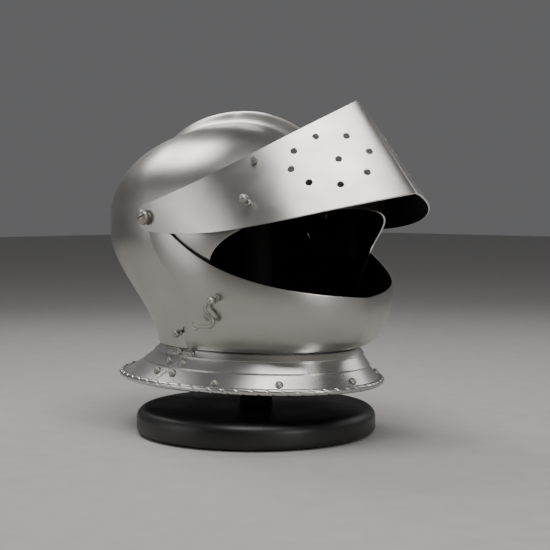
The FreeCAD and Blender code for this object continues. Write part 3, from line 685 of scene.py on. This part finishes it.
def rivet_profile(grip):
    knots = [(0, -grip - 1.2), (2.8, -grip - 1.2), (2.8, -grip - 0.3), (1.55, -grip - 0.3),
             (1.55, 0.05), (3.75, 0.05)]
    return rounded(knots, 0.25) + dome(3.75, 2.7, 0.35)


ROPE_SLANT, NOTCH_WIDTH, NOTCH_DEPTH = 0.9, 0.22, 0.2


def rope(front):
    """The rolled rim: a round bead with narrow slanting notches, like a laid rope."""
    level, share = LAME_EDGES[-1]
    # each half runs past the seam, where it is trimmed
    margin = 0.35
    start, end = (0.0, math.pi) if front else (math.pi, 2 * math.pi)
    columns = spread(1500, start - margin, end + margin)
    around = [2 * math.pi * step / 24 for step in range(24)]

    def place(column, turn):
        centre = collar_point(column, level - ROPE_RADIUS * 0.5, share, -ROPE_RADIUS * 0.3)
        out = collar_point(column, level, share, -1) - collar_point(column, level, share)
        out.normalize()
        phase = ROPE_NOTCHES * column / 2 + math.sin(turn) * ROPE_SLANT
        notch = math.exp(-(math.sin(phase) / NOTCH_WIDTH) ** 2)
        radius = ROPE_RADIUS * (1 - NOTCH_DEPTH * notch)
        return centre + out * radius * math.cos(turn) + Vector((0, 0, radius * math.sin(turn)))
    bm = grid(place, columns, around, closed=True)
    trim(bm, collar_half(front))
    holes = [edge for edge in bm.edges if edge.is_boundary]
    bmesh.ops.holes_fill(bm, edges=holes, sides=0)
    bmesh.ops.recalc_face_normals(bm, faces=bm.faces)
    return bm


def collar(front):
    end, body = ("front", "chin_piece") if front else ("rear", "helmet")
    columns = [2 * math.pi * step / 300 for step in range(300)]
    for index, lame_name in enumerate(LAME_NAMES):
        bm = grid(lame_point(index), [-1.0, -0.5] + spread(12), columns, closed=True)
        trim(bm, collar_half(front))
        face_out(bm, spot(0, 0, 120))
        node = "%s_collar_%s" % (end, lame_name)
        sheet_metal(node + "_plate", bm, COLLAR_GAUGE, body, [node], COLLAR)
    bead = mesh_from("%s_rim_rope" % end, rope(front))
    finished("%s_rim_rope" % end, bead, [COLLAR], body, [], 60)
    seam, rim = rivet_seats(front)
    for kind, seats, grip in (("seam", seam, SEAM_GRIP), ("lining", rim, LINING_GRIP)):
        node = "%s_%s_rivets" % (end, kind)
        turned_piece(node + "_turned", [(rivet_profile(grip), *seat) for seat in seats],
                     body, [node], segments=28)


collar(False)
collar(True)


# ---------------------------------------------------------------- pivot hardware

SLOT_WIDTH, SLOT_TURN = 1.7, 68


def pivot_screw(end, sign):
    """A domed screw with a slot, cut by a blade that is removed again."""
    face = VISOR_HALF_WIDTH + 0.1
    knots = [(0, 106), (3, 106), (3, face), (4.6, face), (4.6, face + 2), (7, face + 2.6),
             (7, face + 4.2)]
    profile = rounded(knots, 0.3) + dome(7, 3.8, face + 4.4)
    piece = turned_piece("pivot_screw_%s_turned" % end,
                         [(profile, spot(0, PIVOT_AHEAD, PIVOT_LEVEL), Vector((sign, 0, 0)))],
                         "helmet", ["pivot_screw_%s" % end], segments=64)
    blade = bmesh.new()
    bmesh.ops.create_cube(blade, size=1)
    bmesh.ops.scale(blade, vec=(8, SLOT_WIDTH, 30), verts=blade.verts)
    turn = Matrix.Rotation(math.radians(SLOT_TURN), 4, "X")
    shift = Matrix.Translation(spot(sign * (face + 5.6 + 4), PIVOT_AHEAD, PIVOT_LEVEL))
    bmesh.ops.transform(blade, matrix=Matrix.Scale(MM, 4) @ shift @ turn, verts=blade.verts)
    cutter = bpy.data.objects.new("slot_cutter_%s" % end, mesh_from("slot_cutter", blade))
    bpy.context.scene.collection.objects.link(cutter)
    cut = piece.modifiers.new("slot", "BOOLEAN")
    cut.operation = "DIFFERENCE"
    cut.object = cutter
    cut.solver = "EXACT"
    soften = piece.modifiers.new("soften", "BEVEL")
    soften.width = 0.15 * MM
    soften.segments = 2
    soften.limit_method = "ANGLE"
    soften.angle_limit = math.radians(50)
    bpy.context.view_layer.update()
    shape = bpy.data.meshes.new_from_object(piece.evaluated_get(
        bpy.context.evaluated_depsgraph_get()))
    piece.modifiers.clear()
    piece.data = shape
    bpy.data.objects.remove(cutter)


def pivot_set(end, sign):
    pivot_screw(end, sign)
    seat = spot(0, PIVOT_AHEAD, PIVOT_LEVEL)
    outward = Vector((sign, 0, 0))
    washer = rounded([(3.05, 118.5), (7, 118.5), (7, 119.3), (3.05, 119.3), (3.05, 118.5)], 0.2)
    turned_piece("pivot_washer_%s_turned" % end, [(washer, seat, outward)], "helmet",
                 ["pivot_washer_%s" % end])
    nut = rounded([(3.05, 111), (5.6, 111), (6.2, 111.6), (6.2, 115.4), (5.6, 116), (3.05, 116),
                   (3.05, 111)], 0.1)
    turned_piece("pivot_nut_%s_turned" % end, [(nut, seat, outward)], "helmet",
                 ["pivot_nut_%s" % end], segments=6)


pivot_set("left", 1)
pivot_set("right", -1)


# ---------------------------------------------------------------- studs and hook

def skull_seat(ahead, level):
    """Point and outward normal on the bowl, on the wearer's right."""
    def side_at(lead, height):
        half_length, half_width, centre = bowl_section(height)
        fullness = FRONT_FULLNESS if lead > centre else REAR_FULLNESS
        share = abs(lead - centre) / half_length
        return spot(-half_width * (1 - share ** fullness) ** (1 / fullness), lead, height)
    here = side_at(ahead, level)
    normal = (side_at(ahead + 0.1, level) - here).cross(side_at(ahead, level + 0.1) - here)
    normal.normalize()
    return here, normal if normal.x < 0 else -normal


def stud(knots, tip):
    tail = [(0, -3.2), (2.8, -3.2), (2.8, -2.2), (1.55, -2.2), (1.55, 0.1)]
    return rounded(tail + knots, 0.35) + tip


turned_piece("visor_ball_stud_turned",
             [(stud([(3.0, 0.1), (3.0, 1.2), (1.9, 2.0), (1.9, 4.5), (2.6, 5.2), (2.6, 6.0)],
                    ball(4.2, 9.6)), *plate_seat(visor_half, *BALL_STUD_SEAT))],
             "face_guard", ["visor_ball_stud"])
turned_piece("visor_spike_stud_turned",
             [(rounded([(0, -3.2), (2.8, -3.2), (2.8, -2.2), (1.55, -2.2), (1.55, 0.1), (3.4, 0.1),
                        (3.4, 1.4), (2.6, 2.2), (2.9, 3.6), (2.2, 6.0), (1.0, 8.2), (0, 9.0)],
                       0.6), *plate_seat(visor_half, *SPIKE_STUD_SEAT))],
             "face_guard", ["visor_spike_stud"])
turned_piece("catch_stud_turned",
             [(stud([(3.4, 0.35), (3.4, 1.4), (2.2, 2.4), (1.7, 4.5), (2.2, 6.2), (3.3, 7.2),
                     (3.3, 8.2), (2.0, 9.2)], ball(3.9, 13.0, -50)), *skull_seat(**CATCH_STUD_SEAT))],
             "helmet", ["catch_stud"])

HOOK_BASE, HOOK_NORMAL = plate_seat(bevor_half, *HOOK_SEAT)
HOOK_STAND_OFF = 4.4
turned_piece("hook_pivot_stud_turned",
             [(stud([(3.6, 0.1), (3.6, 1.5), (2.2, 2.2), (2.2, 6.6), (3.0, 6.9)],
                    ball(4.0, 9.8, -45)), HOOK_BASE, HOOK_NORMAL)],
             "chin_piece", ["hook_pivot_stud"])

# the S-hook lies in a plane parallel to the plate: (forward, up, rod radius) from its pivot
HOOK_PATH = [(-3.4, -1.4, 1.5), (-8.2, -4.6, 1.7), (-11.0, -8.2, 1.8), (-10.0, -12.6, 1.9),
             (-6.2, -16.6, 2.1), (-3.2, -21.0, 2.2), (-5.6, -25.4, 2.2), (-11.5, -26.3, 2.0),
             (-19.0, -26.0, 1.6)]
HOOK_TIPS = [[(-18.0, -26.0, 1.6), (-21.6, -26.4, 1.4), (-24.6, -25.0, 1.3), (-25.8, -22.8, 1.1)],
             [(-18.0, -26.0, 1.6), (-20.6, -27.4, 1.4), (-23.6, -29.2, 1.3), (-25.6, -29.4, 1.1)]]


def hook_frame():
    up = Vector((0, 0, 1)) - HOOK_NORMAL * HOOK_NORMAL.z
    up.normalize()
    ahead = up.cross(HOOK_NORMAL)
    return (ahead if ahead.y < 0 else -ahead), up


def bent_rod(path, name):
    """A smooth tapering rod through the path's points, as a mesh."""
    ahead, up = hook_frame()
    centre = HOOK_BASE + HOOK_NORMAL * HOOK_STAND_OFF
    curve = bpy.data.curves.new(name, "CURVE")
    curve.dimensions = "3D"
    curve.bevel_depth = 1.0
    curve.bevel_resolution = 6
    curve.use_fill_caps = True
    spline = curve.splines.new("NURBS")
    spline.points.add(len(path) - 1)
    for knot, (lead, height, radius) in zip(spline.points, path):
        knot.co = (*(centre + ahead * lead + up * height), 1)
        knot.radius = radius
    spline.order_u = 3
    spline.use_endpoint_u = True
    spline.resolution_u = 10
    holder = bpy.data.objects.new(name, curve)
    bpy.context.scene.collection.objects.link(holder)
    mesh = bpy.data.meshes.new_from_object(holder.evaluated_get(
        bpy.context.evaluated_depsgraph_get()))
    bpy.data.objects.remove(holder)
    return mesh


def hook():
    bm = bmesh.new()
    eye = rounded([(2.3, HOOK_STAND_OFF - 1.5), (3.9, HOOK_STAND_OFF - 1.5),
                   (3.9, HOOK_STAND_OFF + 1.5), (2.3, HOOK_STAND_OFF + 1.5),
                   (2.3, HOOK_STAND_OFF - 1.5)], 0.7)
    add_turned(bm, eye, HOOK_BASE, HOOK_NORMAL)
    for number, path in enumerate([HOOK_PATH] + HOOK_TIPS):
        bm.from_mesh(bent_rod(path, "hook_rod_%d" % number))
    return finished("bevor_hook_forged", mesh_from("bevor_hook_forged", bm), [TURNED], "hook",
                    ["bevor_hook"], 60)


hook()


# ---------------------------------------------------------------- padded liner

LINER_LOW, LINER_FRONT, LINER_THICKNESS = 167.0, 34.0, 8.0
LINER_INSET, LINER_PUFF, LINER_CHANNELS = 5.0, 1.5, 9
PIVOT_CLEAR = 15.0


def liner():
    """A quilted cap inside the bowl: soft ribs between sewn channels, in near-black cloth that is
    partly painted shade.
    """
    columns = [2 * math.pi * step / 320 for step in range(320)]

    def place(row, column):
        rib = abs(math.sin(column * LINER_CHANNELS)) ** 0.6 * ease((1 - row) * 6)
        band = abs(math.sin(row * math.pi * 4)) ** 0.4
        inset = LINER_INSET - LINER_PUFF * rib * band
        over = BOWL["rise"] - inset
        level = mix(LINER_LOW, BOWL["level"], row * 2) if row < 0.5 else (
            BOWL["level"] + over * math.sin((row - 0.5) * math.pi * NEAR_CROWN))
        half_length, half_width, centre = bowl_section(min(level, BOWL["level"]))
        scale = math.sqrt(max(0.0, 1 - (max(level - BOWL["level"], 0) / over) ** 2))
        fullness = 2 / (FRONT_FULLNESS if math.cos(column) > 0 else REAR_FULLNESS)
        lead = math.copysign(abs(math.cos(column)) ** fullness, math.cos(column))
        side = math.copysign(abs(math.sin(column)) ** fullness, math.sin(column))
        return spot((half_width - inset) * scale * side,
                    centre + (half_length - inset) * scale * lead, level)

    def keep(point):
        return min(LINER_FRONT + point.y, pivot_distance(point) - PIVOT_CLEAR)
    bm = grid(place, spread(110), columns, closed=True)
    trim(bm, keep)
    face_out(bm, spot(0, -20, 200))
    piece = finished("liner_quilted", mesh_from("liner_quilted", bm), [LINER_CLOTH_AND_PAINTED_SHADE], "helmet",
                     ["liner"], 80)
    wall = piece.modifiers.new("wadding", "SOLIDIFY")
    wall.thickness = LINER_THICKNESS * MM
    wall.offset = -1


liner()


# ---------------------------------------------------------------- display stand

def arc(centre_radius, centre_height, radius, start, end, steps=12):
    angles = [math.radians(mix(start, end, step / steps)) for step in range(steps + 1)]
    return [(centre_radius + radius * math.cos(a), centre_height + radius * math.sin(a))
            for a in angles]


def stand():
    ground, up = Vector((0, 0, 0)), Vector((0, 0, 1))
    felt_top, base_top, base_radius = 1.5, 26.0, 118.0
    base = [(9, felt_top), (base_radius - 5, felt_top)]
    base += arc(base_radius - 5, felt_top + 5, 5, -90, 0)[1:]
    base += arc(base_radius - 11, base_top - 11, 11, 0, 90)[1:]
    base += [(60, base_top), (20, base_top), (4.1, base_top), (4.1, 9.5), (9, 9.5),
             (9, felt_top)]
    turned_piece("stand_base_turned", [(base, ground, up)], "stand", ["stand_base"],
                 BLACK, 160)
    post = rounded([(4.1, 26), (16, 26), (16, 262), (4.1, 262), (4.1, 26)], 0.5)
    turned_piece("stand_post_turned", [(post, ground, up)], "stand", ["stand_post"],
                 MATT_BLACK, 64)
    rest = rounded([(0, 262), (40, 262), (40, 268)], 0.8) + dome(40, 16, 268, 20)
    turned_piece("head_rest_turned", [(rest, ground, up)], "stand", ["head_rest"],
                 MATT_BLACK, 96)
    felt = rounded([(0, 0), (110, 0), (110, 1.5), (0, 1.5)], 0.3)
    turned_piece("base_felt_pad", [(felt, ground, up)], "stand", ["base_felt"], FELT, 120)
    bolt = rounded([(0, 3), (7.2, 3), (7.2, 8), (4, 8), (4, 63), (0, 63)], 0.4)
    turned_piece("base_bolt_turned", [(bolt, ground, up)], "stand", ["base_bolt"],
                 ZINC)


stand()


# ---------------------------------------------------------------- floor, light and camera

def floor():
    material, nodes, links, shader = new_material("pale_floor")
    speck = noise_node(nodes, links, 40, detail=6)
    tint = ramp_node(nodes, links, speck, (0.50, 0.485, 0.465), (0.54, 0.525, 0.505))
    links.new(tint.outputs["Color"], shader.inputs["Base Color"])
    shader.inputs["Roughness"].default_value = 0.85
    bm = bmesh.new()
    bmesh.ops.create_grid(bm, x_segments=1, y_segments=1, size=6.0)
    mesh = mesh_from("pale_floor", bm)
    mesh.materials.append(material)
    plane = bpy.data.objects.new("pale_floor", mesh)
    bpy.context.scene.collection.objects.link(plane)


def softbox(name, place, aim, size, power, spread_angle):
    data = bpy.data.lights.new(name, "AREA")
    data.shape = "RECTANGLE"
    data.size, data.size_y = size
    data.energy = power
    data.spread = math.radians(spread_angle)
    lamp = bpy.data.objects.new(name, data)
    lamp.location = place
    lamp.rotation_euler = (Vector(aim) - Vector(place)).to_track_quat("-Z", "Y").to_euler()
    bpy.context.scene.collection.objects.link(lamp)


def lights():
    world = bpy.data.worlds.new("studio")
    bpy.context.scene.world = world
    world.use_nodes = True
    sky = world.node_tree.nodes["Background"]
    sky.inputs["Color"].default_value = (0.78, 0.78, 0.80, 1)
    sky.inputs["Strength"].default_value = 0.16
    middle = (0, 0, 0.19)
    softbox("overhead_front_right", (-0.42, -0.5, 1.75), middle, (1.15, 0.8), 12, 140)
    softbox("side_right_rear", (-1.5, 0.95, 0.55), middle, (0.9, 1.2), 2.4, 120)
    softbox("front", (-0.3, -1.8, 0.6), middle, (0.4, 0.9), 2.2, 100)
    softbox("rim_rear_top", (0.05, 1.25, 1.45), middle, (0.7, 0.7), 3, 100)
    softbox("fill_left", (1.5, -0.4, 0.9), middle, (0.8, 0.8), 1.5, 120)


CAMERA_DISTANCE, CAMERA_HEIGHT = 1.280, 0.228
VIEW_ANGLE = 47.0
LENS, SENSOR = 85.09, 36.0


def camera():
    """Camera on the wearer's right front, almost level, tilted slightly down."""
    data = bpy.data.cameras.new("camera")
    data.lens, data.sensor_width = LENS, SENSOR
    data.clip_end = 50
    seat = bpy.data.objects.new("camera", data)
    turn = math.radians(VIEW_ANGLE)
    seat.location = (-CAMERA_DISTANCE * math.cos(turn), -CAMERA_DISTANCE * math.sin(turn),
                     CAMERA_HEIGHT)
    pitch, yaw = math.atan(75 / 1300), 19 / 1300
    level_aim = Vector((math.cos(turn - yaw), math.sin(turn - yaw), 0))
    aim = level_aim * math.cos(pitch) - Vector((0, 0, math.sin(pitch)))
    seat.rotation_euler = aim.to_track_quat("-Z", "Y").to_euler()
    bpy.context.scene.collection.objects.link(seat)
    bpy.context.scene.camera = seat


floor()
lights()
camera()
bpy.context.scene.view_settings.view_transform = "AgX"
